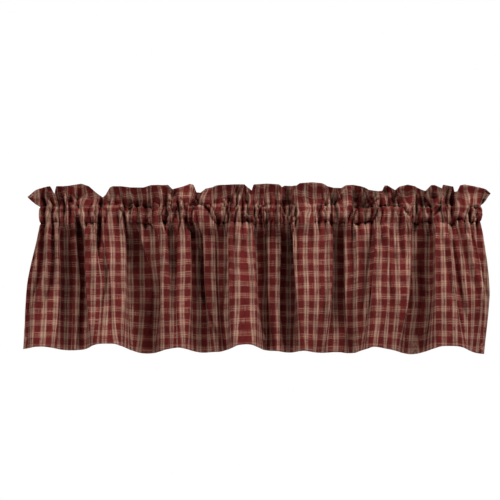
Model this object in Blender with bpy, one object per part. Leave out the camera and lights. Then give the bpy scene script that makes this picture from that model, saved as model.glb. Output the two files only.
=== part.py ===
"""A gathered window valance: one woven panel with a ruffled header, a rod pocket and a hanging skirt.

The cloth is one sheet. Its top is folded to the back and sewn down in two rows, which makes the
header above and the pocket between them. The sheet is described by five level sections, from the
crest of the header down to the hem. Each section is a line of folds, and away from the stitches
every fold is made as deep as the cloth in it needs. X runs along the rod, -Y is the room side and
Z is up. The origin is the middle of the rod pocket.
"""
from collections import namedtuple

import bmesh
import bpy
import numpy as np

MM = 0.001

# Heights of the cloth, in metres from the middle of the rod pocket
STITCH = 0.017
SKIRT_OPEN = -0.0375
SKIRT_MIDDLE = -0.162
HEM = -0.289

# The sheet, doubled in the header
FLAT_WIDTH = 1.829
SHEET = 0.0013
HEADER_SHEET = 0.0020

# The pocket: free depth on each side of the rod's axis, how much of the stitched folds its walls
# take over, and the bulge of each gather between two of them
ROD_ROOM = 0.0105
POCKET_RIPPLE = 0.6
GATHER_BULGE = 0.005

# Columns of the mesh, run of a fold's steep side, steps along a section, and settling of depths
COLUMNS = 141
SLOPE = 0.001
FINE = 0.0005
SETTLING_ROUNDS = 12
LETTING_OUT = 0.3
HOLDING = 0.15

# Levels of the five sections: where the cloth starts and how round the folds are, in millimetres
Level = namedtuple("Level", "name start roundness")
LEVELS = (
    Level("top", -487, 5.0),
    Level("stitch", -460, 3.5),
    Level("skirt", -463, 4.5),
    Level("middle", -490, 5.0),
    Level("hem", -495, 5.0),
)

# One row per fold, from the left end to the right end, in millimetres. The first five numbers are
# where the fold ends at each level, the next five how far it stands out to the front there before
# it settles, and the last one is the height of the header crest above it.
Fold = namedtuple(
    "Fold",
    "name top stitch skirt middle hem out_top out_stitch out_skirt out_middle out_hem crest",
)
FOLDS = (
    Fold("end_left",     -462,  -449,  -456,  -477,  -482,     -4,    3,    4,    5,    5,    49),
    Fold("fold_1a",      -447,  -435,  -438,  -452,  -452,     15,    8,   15,   20,   35,    59),
    Fold("fold_1b",      -425,  -419,  -421,  -419,  -422,    -20,    4,   25,   30,   40,    49),
    Fold("recess_a",     -407,  -404,  -400,  -392,  -392,     15,    2,  -15,  -15,  -10,    58),
    Fold("ridge_a",      -385,  -387,  -385,  -377,  -379,     10,    3,    5,    4,   -2,    65),
    Fold("recess_a2",    -364,  -372,  -377,  -362,  -353,     20,  -12,  -30,  -30,  -15,    64),
    Fold("fold_2a",      -340,  -340,  -338,  -327,  -328,      4,    8,   20,   30,   45,    55),
    Fold("gap_2",        -323,  -325,  -326,  -307,  -302,    -35,  -10,  -10,   20,   50,    43),
    Fold("fold_2b",      -287,  -285,  -280,  -276,  -274,     20,   12,   25,   30,   40,    58),
    Fold("recess_b",     -257,  -258,  -246,  -223,  -235,     -5,  -10,  -20,  -25,  -40,    59),
    Fold("recess_b2",    -227,  -230,  -209,  -208,  -212,    -15,   -4,    2,  -20,  -35,    62),
    Fold("fold_4a",      -205,  -203,  -190,  -184,  -184,     10,    8,   20,   20,   -2,    62),
    Fold("gap_4",        -182,  -182,  -167,  -169,  -167,     15,   -6,  -15,   10,   10,    61),
    Fold("fold_4b",      -133,  -146,  -140,  -138,  -141,     20,   10,   20,   20,   20,    61),
    Fold("recess_c",     -117,  -133,  -114,  -109,   -90,    -30,  -12,  -25,  -25,  -20,    52),
    Fold("ridge_c",       -88,   -90,   -86,   -83,   -73,     25,    8,    5,    2,  -10,    55),
    Fold("recess_c2",     -45,   -58,   -59,   -57,   -56,     -2,   -6,  -20,  -15,  -20,    64),
    Fold("fold_6a",       -23,   -32,   -34,   -28,   -24,    -25,   12,   30,   35,   50,    69),
    Fold("fold_6b",         1,    -6,    -4,     2,     9,     10,    5,   30,   40,   50,    56),
    Fold("recess_d",       24,    15,    22,    25,    32,     15,   -4,  -20,  -20,  -20,    64),
    Fold("ridge_d",        52,    54,    55,    51,    56,      4,    2,   10,    2,  -20,    64),
    Fold("recess_d2",      81,    75,    79,    85,    86,    -30,   -8,  -35,  -30,  -25,    66),
    Fold("fold_7a",       116,   120,   122,   122,   118,     15,    8,   20,   20,    2,    64),
    Fold("fold_7b",       150,   165,   164,   162,   148,      4,    3,   20,   20,  -10,    65),
    Fold("recess_e",      175,   193,   195,   195,   201,    -15,  -10,  -25,  -25,  -30,    59),
    Fold("fold_9",        205,   214,   220,   220,   216,     30,    6,   10,    2,  -15,    58),
    Fold("valley_9",      231,   257,   253,   246,   229,    -10,   -8,  -10,  -10,  -20,    60),
    Fold("fold_10a",      271,   287,   282,   280,   265,    -30,    8,   20,   25,   30,    55),
    Fold("fold_10b",      302,   332,   330,   325,   308,      5,   10,   25,   25,   30,    58),
    Fold("recess_f",      340,   355,   353,   351,   340,     25,  -12,  -30,  -30,  -50,    59),
    Fold("recess_f2",     362,   379,   379,   377,   368,    -15,   -6,  -25,  -30,  -45,    55),
    Fold("fold_12",       396,   407,   408,   417,   441,     15,   12,   25,   35,   50,    58),
    Fold("valley_13",     428,   428,   433,   452,   458,    -30,  -10,  -15,   -4,    5,    59),
    Fold("fold_14",       467,   458,   464,   482,   475,     20,   10,   15,   10,  -20,    59),
    Fold("right_edge",    502,   480,   484,   496,   487,      5,   -3,   -5,  -10,  -45,    52),
)

SKIRT_ROWS = (-0.017, -0.023, -0.036, -0.065, -0.105, -0.155, -0.205, -0.250, HEM)
POCKET_ROWS = (-0.0140, -0.0055, 0.0055, 0.0140)
HEADER_ROWS = (0.0, 0.45, 1.0)


def section(level, outs):
    """Line of folds of one level, with the arc length at the end of each fold."""
    ends = np.array([getattr(f, level.name) for f in FOLDS], float) * MM
    corners = np.empty((2 * len(FOLDS), 2))
    corners[0, 0] = level.start * MM
    corners[2::2, 0] = ends[:-1] + SLOPE / 2
    corners[1:-1:2, 0] = ends[:-1] - SLOPE / 2
    corners[-1, 0] = ends[-1]
    corners[:, 1] = np.repeat(-outs, 2)
    run = np.concatenate([[0], np.cumsum(np.linalg.norm(np.diff(corners, axis=0), axis=1))])
    steps = np.arange(0, run[-1], FINE)
    line = np.stack([np.interp(steps, run, corners[:, i]) for i in (0, 1)], axis=1)
    reach = int(4 * level.roundness * MM / FINE)
    bell = np.exp(-0.5 * (np.arange(-reach, reach + 1) * FINE / (level.roundness * MM)) ** 2)
    bell /= bell.sum()
    before = 2 * line[0] - line[reach:0:-1]
    after = 2 * line[-1] - line[-2:-reach - 2:-1]
    long_line = np.concatenate([before, line, after])
    line = np.stack([np.convolve(long_line[:, i], bell, "valid") for i in (0, 1)], axis=1)
    arc = np.concatenate([[0], np.cumsum(np.linalg.norm(np.diff(line, axis=0), axis=1))])
    middles = (run[1:-1:2] + run[2::2]) / 2
    marks = np.interp(middles / FINE, np.arange(len(arc)), arc)
    return line, arc, np.concatenate([[0], marks, arc[-1:]])


def scaled_to_cloth(level, outs):
    """The same folds, all deeper or all shallower, so that the section is as long as the cloth."""
    low, high = 0.3, 3.0
    for _ in range(12):
        scale = (low + high) / 2
        if section(level, scale * outs)[1][-1] > FLAT_WIDTH:
            high = scale
        else:
            low = scale
    return scale * outs


def settled_sections():
    """Sections in which a fold short of cloth is let out and a fold with too much is taken in."""
    first = {v.name: np.array([getattr(f, "out_" + v.name) for f in FOLDS]) * MM for v in LEVELS}
    loose = [v for v in LEVELS if v.name != "stitch"]
    side = {}
    for level in loose:
        first[level.name] = scaled_to_cloth(level, first[level.name])
        around = np.pad(first[level.name], 1, mode="edge")
        side[level.name] = np.sign(2 * around[1:-1] - around[:-2] - around[2:])
    outs = {name: depths.copy() for name, depths in first.items()}
    for _ in range(SETTLING_ROUNDS):
        held = np.array([np.diff(section(v, outs[v.name])[2]) for v in loose])
        share = held.mean(axis=0) * FLAT_WIDTH / held.mean(axis=0).sum()
        for level, cloth in zip(loose, held):
            outs[level.name] += LETTING_OUT * side[level.name] * (share - cloth)
            outs[level.name] -= HOLDING * (outs[level.name] - first[level.name])
    return [section(v, outs[v.name]) for v in LEVELS]


def bend_places(lines, count):
    """Fold numbers of the columns, closer together where the cloth bends."""
    fine = np.linspace(0, len(FOLDS), 1401)
    weight = np.zeros(len(fine) - 1)
    for line, arc, marks in lines:
        at = np.interp(fine, np.arange(len(marks)), marks)
        points = np.stack([np.interp(at, arc, line[:, i]) for i in (0, 1)], axis=1)
        steps = np.diff(points, axis=0)
        heading = np.unwrap(np.arctan2(steps[:, 1], steps[:, 0]))
        bend = np.abs(np.gradient(heading))
        weight += np.linalg.norm(steps, axis=1) / 0.050 + np.sqrt(bend) * 0.35
    total = np.concatenate([[0], np.cumsum(weight)])
    return np.interp(np.linspace(0, total[-1], count), total, fine)


def at_columns(line_set, places):
    """Points of one section at the columns."""
    line, arc, marks = line_set
    at = np.interp(places, np.arange(len(marks)), marks)
    return np.stack([np.interp(at, arc, line[:, i]) for i in (0, 1)], axis=1)


def facing(grid):
    """Unit directions to the front of the cloth, for a grid of rows of points."""
    along = np.gradient(grid, axis=1)
    up = np.gradient(grid, axis=0)
    normal = np.cross(along, up)
    return normal / np.linalg.norm(normal, axis=2)[:, :, None]


def blend(keys, heights, z):
    """Monotone curve through the sections at key heights, taken at height z."""
    i = int(np.clip(np.searchsorted(-np.array(heights), -z) - 1, 0, len(heights) - 2))
    gaps = np.diff(heights)
    slopes = [(keys[k + 1] - keys[k]) / gaps[k] for k in range(len(gaps))]

    def tangent(k):
        if k == 0:
            return slopes[0] * 1.5
        if k == len(gaps):
            return slopes[-1]
        same = slopes[k - 1] * slopes[k] > 0
        mean = 2 * slopes[k - 1] * slopes[k] / np.where(same, slopes[k - 1] + slopes[k], 1)
        return np.where(same, mean, 0)

    t = (z - heights[i]) / gaps[i]
    a = (1 + 2 * t) * (1 - t) ** 2 * keys[i] + t * (1 - t) ** 2 * gaps[i] * tangent(i)
    b = t * t * (3 - 2 * t) * keys[i + 1] + t * t * (t - 1) * gaps[i] * tangent(i + 1)
    return a + b


def spatial(points, z):
    """Plan points lifted to height z, which may be one number or one per point."""
    return np.column_stack([points, np.broadcast_to(z, len(points))])


# Rows of points of a skin, and of the middle of the cloth behind it
Skin = namedtuple("Skin", "rows middles")


def skirt_rows(sections):
    """Middle of the hanging cloth, from the hem up to the lower stitches."""
    top, stitch, skirt, middle, hem = sections
    heights = (-STITCH, SKIRT_OPEN, SKIRT_MIDDLE, HEM)
    return [spatial(blend((stitch, skirt, middle, hem), heights, z), z) for z in SKIRT_ROWS[::-1]]


def pocket_rows(stitch, places, side):
    """Middle of one pocket wall, between the stitches; side is -1 in front and 1 behind."""
    reach = side * stitch[:, 1]
    bulge = GATHER_BULGE * np.sin(np.pi * places) ** 2
    crown = stitch.copy()
    crown[:, 1] = side * (ROD_ROOM + bulge + POCKET_RIPPLE * (reach - reach.min()))
    rows = []
    for z in POCKET_ROWS:
        belly = np.sqrt(1 - np.abs(z / STITCH) ** 3)
        rows.append(spatial(stitch * (1 - belly) + crown * belly, z))
    return rows


def header_rows(sections, places):
    """Middle of the doubled header, from the upper stitches to the crest."""
    top, stitch = sections[:2]
    crest = np.interp(places, np.arange(len(FOLDS)) + 0.5, [f.crest * MM for f in FOLDS])
    rows = []
    for share in HEADER_ROWS:
        spread = share ** 0.8
        rows.append(spatial(stitch * (1 - spread) + top * spread, STITCH + (crest - STITCH) * share))
    return rows


def valance_rows():
    """Rows of points around the cloth: the outside loop and the loop of the rod pocket."""
    lines = settled_sections()
    places = bend_places(lines, COLUMNS)
    sections = [at_columns(line_set, places) for line_set in lines]
    stitch = sections[1]
    skirt = skirt_rows(sections)
    header = header_rows(sections, places)
    half = np.full((len(skirt) + len(POCKET_ROWS) + len(header), 1, 1), SHEET / 2)
    half[-len(header):] = HEADER_SHEET / 2
    wall = slice(len(skirt), len(skirt) + len(POCKET_ROWS))

    front = np.array(skirt + pocket_rows(stitch, places, -1) + header)
    back = np.array(skirt + pocket_rows(stitch, places, 1) + header)
    ahead = facing(front) * half
    behind = facing(back) * half
    floor = spatial(stitch, SHEET - STITCH)
    roof = spatial(stitch, STITCH - SHEET)

    def round_cloth(before, after):
        return list(before) + list(after)[::-1]

    def round_rod(before, after):
        return [floor] + list(before[wall]) + [roof] + list(after[wall])[::-1]

    outside = Skin(round_cloth(front + ahead, back - behind), round_cloth(front, back))
    inside = Skin(round_rod(front - ahead, back + behind), round_rod(front, back))
    return outside, inside


def tube(bm, skin):
    """Skin of closed loops, split along the shorter diagonal of the middle of the cloth."""
    grid = [[bm.verts.new(p) for p in row] for row in skin.rows]
    count = len(grid)
    for i in range(count):
        low, high = grid[i], grid[(i + 1) % count]
        under, over = skin.middles[i], skin.middles[(i + 1) % count]
        rising = np.linalg.norm(over[1:] - under[:-1], axis=1)
        falling = np.linalg.norm(over[:-1] - under[1:], axis=1)
        for j in range(len(low) - 1):
            if rising[j] < falling[j]:
                bm.faces.new((low[j], low[j + 1], high[j + 1]))
                bm.faces.new((low[j], high[j + 1], high[j]))
            else:
                bm.faces.new((low[j], low[j + 1], high[j]))
                bm.faces.new((low[j + 1], high[j + 1], high[j]))
    return grid


def close_end(bm, outside, inside, column):
    """Cloth edge at one end, open only where the rod goes through."""
    outer = [row[column] for row in outside]
    inner = [row[column] for row in inside]
    last = len(outer) - 1
    low = len(SKIRT_ROWS) - 1
    pocket = len(POCKET_ROWS)
    high = low + pocket + 1
    for i in range(low):
        bm.faces.new((outer[i], outer[i + 1], outer[last - i - 1], outer[last - i]))
    for i in range(high, len(outer) // 2 - 1):
        bm.faces.new((outer[i], outer[i + 1], outer[last - i - 1], outer[last - i]))
    floor = inner[0]
    roof = inner[pocket + 1]
    front = inner[1:pocket + 1]
    back = inner[pocket + 2:][::-1]
    for walls, side in ((front, outer[low:high + 1]), (back, outer[last - high:last - low + 1][::-1])):
        chain = [floor] + walls + [roof]
        for i in range(len(chain) - 1):
            bm.faces.new((side[i], side[i + 1], chain[i + 1], chain[i]))
    bm.faces.new((outer[low], outer[last - low], floor))
    bm.faces.new((outer[high], outer[last - high], roof))


def cloth_material():
    """Plain burgundy cotton."""
    material = bpy.data.materials.new("woven_cotton_plaid")
    material.use_nodes = True
    shader = material.node_tree.nodes["Principled BSDF"]
    shader.inputs["Base Color"].default_value = (0.21, 0.06, 0.05, 1)
    shader.inputs["Roughness"].default_value = 0.9
    return material


def build_valance():
    """The whole panel as one closed body."""
    outer_skin, pocket_skin = valance_rows()
    bm = bmesh.new()
    outside = tube(bm, outer_skin)
    inside = tube(bm, pocket_skin)
    close_end(bm, outside, inside, 0)
    close_end(bm, outside, inside, COLUMNS - 1)
    bmesh.ops.recalc_face_normals(bm, faces=bm.faces)
    mesh = bpy.data.meshes.new("valance")
    bm.to_mesh(mesh)
    bm.free()
    piece = bpy.data.objects.new("valance", mesh)
    piece.data.materials.append(cloth_material())
    bpy.context.scene.collection.objects.link(piece)
    return piece


for old in list(bpy.data.objects):
    bpy.data.objects.remove(old, do_unlink=True)

build_valance()
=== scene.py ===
from collections import namedtuple

import bpy
import numpy as np
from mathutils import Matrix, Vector


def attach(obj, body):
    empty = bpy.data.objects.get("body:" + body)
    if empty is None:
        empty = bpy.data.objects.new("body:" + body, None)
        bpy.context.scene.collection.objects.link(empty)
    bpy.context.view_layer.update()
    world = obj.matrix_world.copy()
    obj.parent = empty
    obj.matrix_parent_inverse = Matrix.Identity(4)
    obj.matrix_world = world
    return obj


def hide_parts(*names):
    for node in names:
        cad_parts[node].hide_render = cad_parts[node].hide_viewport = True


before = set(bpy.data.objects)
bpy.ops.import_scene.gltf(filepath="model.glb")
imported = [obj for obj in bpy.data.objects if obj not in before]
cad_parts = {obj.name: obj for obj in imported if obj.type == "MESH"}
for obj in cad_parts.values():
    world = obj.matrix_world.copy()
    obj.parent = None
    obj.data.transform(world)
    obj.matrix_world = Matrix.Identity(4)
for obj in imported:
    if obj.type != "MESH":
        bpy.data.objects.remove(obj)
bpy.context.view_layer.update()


# The skirt: one width of burgundy and tan woven cotton plaid, 1.83 m wide before it is gathered.
# It hangs free below the lower row of heading stitches, in folds that go deeper towards the hem.
# Its lower edge and its two ends are turned to the back and sewn.
MM = 0.001
STITCH = 0.017
SKIRT_OPEN = -0.050
SKIRT_MIDDLE = -0.162
HEM = -0.289
FLAT_WIDTH = 1.829
SHEET = 0.0007

FINE = 0.0005
SETTLING_ROUNDS = 12
LETTING_OUT = 0.3
HOLDING = 0.15
COLUMNS = 900
COLUMN_WEIGHTS = (250, 900, 100, 100, 100)
BEND_WEIGHT = 0.20
SIDE_SHARE = 0.45

# Levels of the sections: where the cloth starts, how round the folds are and how wide their
# sides, in millimetres, and the share of each side that is cut from the fold's own face. A side
# below zero leans in behind that face.
Level = namedtuple("Level", "name start roundness slope bite")
LEVELS = (
    Level("top", -487, 2.6, 6, 0.15),
    Level("stitch", -460, 2.2, 3, 0.15),
    Level("skirt", -468, 2.0, -1, 0.15),
    Level("middle", -490, 2.2, 1, 0.15),
    Level("hem", -495, 6.0, 26, 0.5),
)

# One row per fold, from the left end to the right end, in millimetres. The first five numbers are
# where the fold ends at each level, the next five how far it stands out to the front there before
# it settles, chosen for its shading, and the last one is where a dark line of the plaid runs
# down it.
Fold = namedtuple(
    "Fold",
    "name top stitch skirt middle hem out_top out_stitch out_skirt out_middle out_hem grain",
)
FOLDS = (
    Fold("end_left",  -462, -449, -461, -479, -482,    8,    3,    2,   -2,   -5, -470),
    Fold("fold_1a",   -447, -435, -438, -452, -452,   -8,    4,   14,    6,   14, -448),
    Fold("fold_1b",   -425, -419, -421, -419, -422,   10,    4,   14,    8,   12, -426),
    Fold("recess_a",  -407, -404, -400, -392, -392,   10,    2,  -20,  -24,  -10, -407),
    Fold("ridge_a",   -385, -387, -385, -377, -379,   -6,    3,  -12,  -12,   -2, -382),
    Fold("recess_a2", -364, -374, -365, -360, -353,   -8,  -12,  -26,  -26,   -9, -368),
    Fold("fold_2a",   -340, -343, -342, -327, -328,    4,   10,   24,   30,   21, -345),
    Fold("gap_2",     -323, -325, -326, -307, -302,  -24,    1,    7,   24,   25, -319),
    Fold("fold_2b",   -287, -285, -280, -276, -274,    6,   12,   22,   26,   25, -306),
    Fold("recess_b",  -257, -258, -246, -223, -235,   18,  -12,  -30,  -34,  -18, -245),
    Fold("recess_b2", -227, -224, -209, -203, -212,   14,  -11,  -22,  -28,  -20, -221),
    Fold("fold_4a",   -205, -203, -190, -184, -184,   18,    8,   12,   16,   -2, -200),
    Fold("gap_4",     -182, -182, -167, -169, -167,    0,   -6,  -15,    8,    3, -180),
    Fold("fold_4b",   -133, -146, -140, -138, -141,  -10,   10,   20,   20,    5, -157),
    Fold("recess_c",  -117, -133, -114, -109,  -90,  -26,  -12,  -20,  -20,  -23, -124),
    Fold("ridge_c",    -88,  -90,  -86,  -83,  -73,  -24,    8,    5,    2,  -15,  -89),
    Fold("recess_c2",  -45,  -58,  -59,  -57,  -56,   16,   -4,   -8,   -6,  -18,  -65),
    Fold("fold_6a",    -23,  -32,  -34,  -28,  -24,   10,   12,   34,   35,   25,  -39),
    Fold("fold_6b",      1,   -6,   -4,    2,    9,    0,    5,   30,   40,   25,  -14),
    Fold("recess_d",    24,   15,   22,   25,   32,   -4,   -4,  -28,  -30,  -17,   24),
    Fold("ridge_d",     52,   54,   55,   51,   56,    6,    2,   -6,  -15,   -6,   48),
    Fold("recess_d2",   81,   75,   79,   85,   86,  -20,   -8,  -60,  -66,  -11,   70),
    Fold("fold_7a",    116,  120,  122,  122,  118,   18,    8,   20,   20,  -11,  107),
    Fold("fold_7b",    150,  165,  164,  162,  148,   16,    3,   20,   20,  -13,  128),
    Fold("recess_e",   175,  188,  189,  190,  197,   -4,  -10,  -30,  -34,  -15,  171),
    Fold("fold_9",     205,  209,  214,  214,  212,    8,    6,   10,   11,  -18,  214),
    Fold("valley_9",   231,  257,  253,  246,  229,    2,   -6,   20,   20,  -17,  235),
    Fold("fold_10a",   271,  287,  282,  280,  265,   18,    8,   24,   36,   24,  259),
    Fold("fold_10b",   302,  332,  330,  325,  308,   -8,   10,   25,   32,   -3,  299),
    Fold("recess_f",   340,  355,  353,  351,  340,   10,   -8,   -6,    4,  -28,  339),
    Fold("recess_f2",  362,  379,  379,  377,  368,   -8,   -4,   -8,    2,  -27,  364),
    Fold("fold_12",    396,  407,  408,  417,  441,   20,   12,   22,   40,   30,  395),
    Fold("valley_13",  428,  428,  433,  452,  458,  -14,   -8,   22,   30,   -1,  441),
    Fold("fold_14",    467,  458,  465,  482,  478,    2,   10,   26,   34,  -15,  479),
    Fold("right_edge",  502,  480,  487,  498,  492,   -4,   -3,   -5,   -4,  -17,  492),
)

# Small gathers that the stitches draw up, one row per ridge. Places along the rod in millimetres at
# the crest, the upper stitches, the middle of the pocket, the lower stitches and the open skirt,
# then the fullness of the ridge, and how far down the skirt it still shows.
Gather = namedtuple("Gather", "crest neck belly stitch skirt fullness reach")
GATHERS = (
    Gather( -477,  -458,  -461,  -458,  -460,  0.80,   60),
    Gather( -453,  -442,  -446,  -444,  -443,  1.20,   70),
    Gather( -437,  -428,  -430,  -426,  -425,  0.80,   40),
    Gather( -419,  -415,  -417,  -415,  -417,  0.80,   30),
    Gather( -409,  -403,  -404,  -406,  -407,  1.00,   30),
    Gather( -394,  -388,  -391,  -391,  -391,  1.10,   60),
    Gather( -379,  -372,  -372,  -370,  -372,  0.80,   25),
    Gather( -362,  -355,  -360,  -355,  -353,  0.80,   30),
    Gather( -345,  -345,  -349,  -342,  -340,  1.00,   40),
    Gather( -325,  -323,  -325,  -326,  -326,  1.10,   40),
    Gather( -310,  -306,  -306,  -308,  -308,  0.60,   60),
    Gather( -297,  -291,  -288,  -287,  -285,  1.00,   40),
    Gather( -278,  -279,  -274,  -276,  -274,  0.90,   20),
    Gather( -261,  -263,  -261,  -261,  -259,  1.00,   20),
    Gather( -244,  -246,  -243,  -246,  -242,  0.90,   30),
    Gather( -226,  -226,  -229,  -229,  -229,  0.80,   30),
    Gather( -212,  -214,  -215,  -213,  -212,  0.70,   25),
    Gather( -197,  -199,  -200,  -200,  -199,  0.80,   60),
    Gather( -184,  -188,  -184,  -188,  -190,  1.10,   30),
    Gather( -171,  -173,  -170,  -168,  -173,  0.90,   25),
    Gather( -160,  -159,  -158,  -156,  -158,  1.10,   50),
    Gather( -141,  -146,  -141,  -148,  -146,  0.70,   25),
    Gather( -126,  -126,  -128,  -128,  -126,  0.60,   40),
    Gather( -109,  -107,  -107,  -105,  -105,  0.60,   60),
    Gather(  -94,   -92,   -89,   -86,   -92,  0.80,   30),
    Gather(  -77,   -73,   -74,   -74,   -75,  0.90,   25),
    Gather(  -62,   -60,   -62,   -62,   -62,  0.80,   25),
    Gather(  -49,   -47,   -49,   -52,   -54,  1.00,   60),
    Gather(  -36,   -35,   -36,   -39,   -39,  1.10,   50),
    Gather(  -26,   -24,   -24,   -22,   -21,  0.90,   30),
    Gather(  -13,   -13,    -9,    -6,   -11,  1.00,   50),
    Gather(    2,     2,     4,     4,     2,  1.00,   30),
    Gather(   13,    13,    17,    18,    15,  1.00,   30),
    Gather(   26,    26,    28,    25,    28,  0.80,   35),
    Gather(   36,    35,    34,    34,    34,  1.00,   60),
    Gather(   51,    51,    56,    54,    51,  1.00,   40),
    Gather(   66,    67,    68,    67,    66,  0.50,   20),
    Gather(   79,    80,    77,    79,    79,  1.00,   60),
    Gather(   92,    92,    92,    92,    92,  0.40,   40),
    Gather(  109,   109,   109,   109,   109,  0.35,   50),
    Gather(  126,   126,   127,   126,   126,  0.60,   50),
    Gather(  139,   143,   143,   143,   143,  0.80,   40),
    Gather(  154,   156,   154,   154,   156,  0.80,   40),
    Gather(  165,   167,   167,   169,   165,  0.90,   40),
    Gather(  178,   177,   182,   186,   182,  1.00,   15),
    Gather(  199,   202,   198,   193,   201,  1.10,   50),
    Gather(  214,   214,   216,   214,   214,  0.80,   40),
    Gather(  225,   223,   226,   227,   227,  0.90,   40),
    Gather(  240,   240,   242,   240,   240,  0.60,   30),
    Gather(  257,   259,   258,   257,   255,  1.00,   70),
    Gather(  274,   274,   276,   276,   276,  0.90,   70),
    Gather(  287,   289,   291,   291,   291,  0.70,   50),
    Gather(  300,   302,   304,   304,   304,  0.70,   50),
    Gather(  310,   312,   317,   317,   317,  1.00,   80),
    Gather(  336,   337,   335,   332,   330,  0.90,   30),
    Gather(  351,   349,   352,   351,   351,  0.90,   20),
    Gather(  368,   366,   364,   366,   366,  0.90,   25),
    Gather(  389,   387,   383,   382,   383,  1.00,   60),
    Gather(  402,   400,   401,   400,   400,  0.90,   50),
    Gather(  415,   412,   410,   411,   413,  1.00,   30),
    Gather(  430,   428,   426,   426,   426,  0.80,   25),
    Gather(  445,   439,   439,   440,   441,  0.90,   60),
    Gather(  464,   452,   452,   452,   452,  0.90,   60),
    Gather(  482,   463,   464,   467,   467,  0.90,   40),
    Gather(  496,   476,   479,   478,   479,  0.80,   30),
)
GATHER_LEVELS = (0.058, 0.017, 0.0, -0.017, -0.045)
GATHER_HEIGHT = 0.021
GATHER_DEPTH = 0.004
PUCKER = 0.0012
PUCKER_SIZE = 0.009
PINCH = 0.22
PINCH_REACH = 0.0045
GATHER_PULL = 0.020
MOST_PULL = 0.8
GATHER_POWER = 0.9
DENT = 0.0012
DENT_SIZE = 0.022

# Broad faces of cloth that lie over the stitches and hide them, in millimetres: how far they stand
# out over the cloth beside them, how wide their rounded edge is, and their outline as places and
# heights.
Lobe = namedtuple("Lobe", "name out edge outline")
LOBES = (
    Lobe("bag", 5, 5, ((-401, 23), (-376, 34), (-340, 30), (-334, 16), (-342, -2), (-339, -18),
          (-376, -21), (-394, 2))),
    Lobe("through_1", 6, 4, ((-330, 0), (-322, 14), (-312, 19), (-296, 18), (-289, 9), (-285, -6),
          (-282, -52), (-332, -52))),
    Lobe("arch", 4, 4, ((-134, 9), (-123, 20), (-110, 18), (-102, 7), (-93, -9), (-88, -23),
          (-85, -52), (-123, -52), (-132, -27), (-139, -6))),
    Lobe("ruffle", 7, 5, ((-120, 38), (-97, 57), (-68, 62), (-61, 41), (-62, 19), (-66, 10),
          (-68, -7), (-81, -8), (-91, 2), (-106, 18), (-119, 23))),
    Lobe("ruffle_2", 5, 4, ((-172, 54), (-141, 65), (-134, 60), (-129, 46), (-134, 30), (-148, 14),
          (-154, -2), (-159, -2), (-164, 23))),
    Lobe("broad", 6, 5, ((85, 57), (97, 65), (136, 65), (151, 57), (143, 41), (140, 19), (129, 9),
          (127, -4), (127, -52), (79, -52), (88, -6), (84, 18), (83, 35))),
    Lobe("oval", 8, 4, ((193, 59), (180, 41), (171, 19), (174, 7), (179, -4), (188, -14), (196, -11),
          (202, 2), (207, 19), (205, 41), (202, 57))),
    Lobe("through_2", 8, 4, ((258, 10), (274, 14), (311, 14), (321, 2), (333, -13), (334, -52),
          (254, -52))),
    Lobe("face", 7, 4, ((305, 54), (324, 62), (341, 59), (342, 41), (341, 21), (339, 2), (337, -11),
          (329, 0), (319, 10), (310, 19), (307, 37))),
    Lobe("through_3", 7, 4, ((377, -2), (389, 6), (395, 18), (410, 19), (412, 5), (407, -13),
          (407, -52), (381, -52))),
    Lobe("fan", 4, 5, ((431, 55), (443, 62), (490, 54), (482, 39), (479, 16), (452, 16), (449, -7),
          (428, -7), (425, 23))),
)
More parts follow.
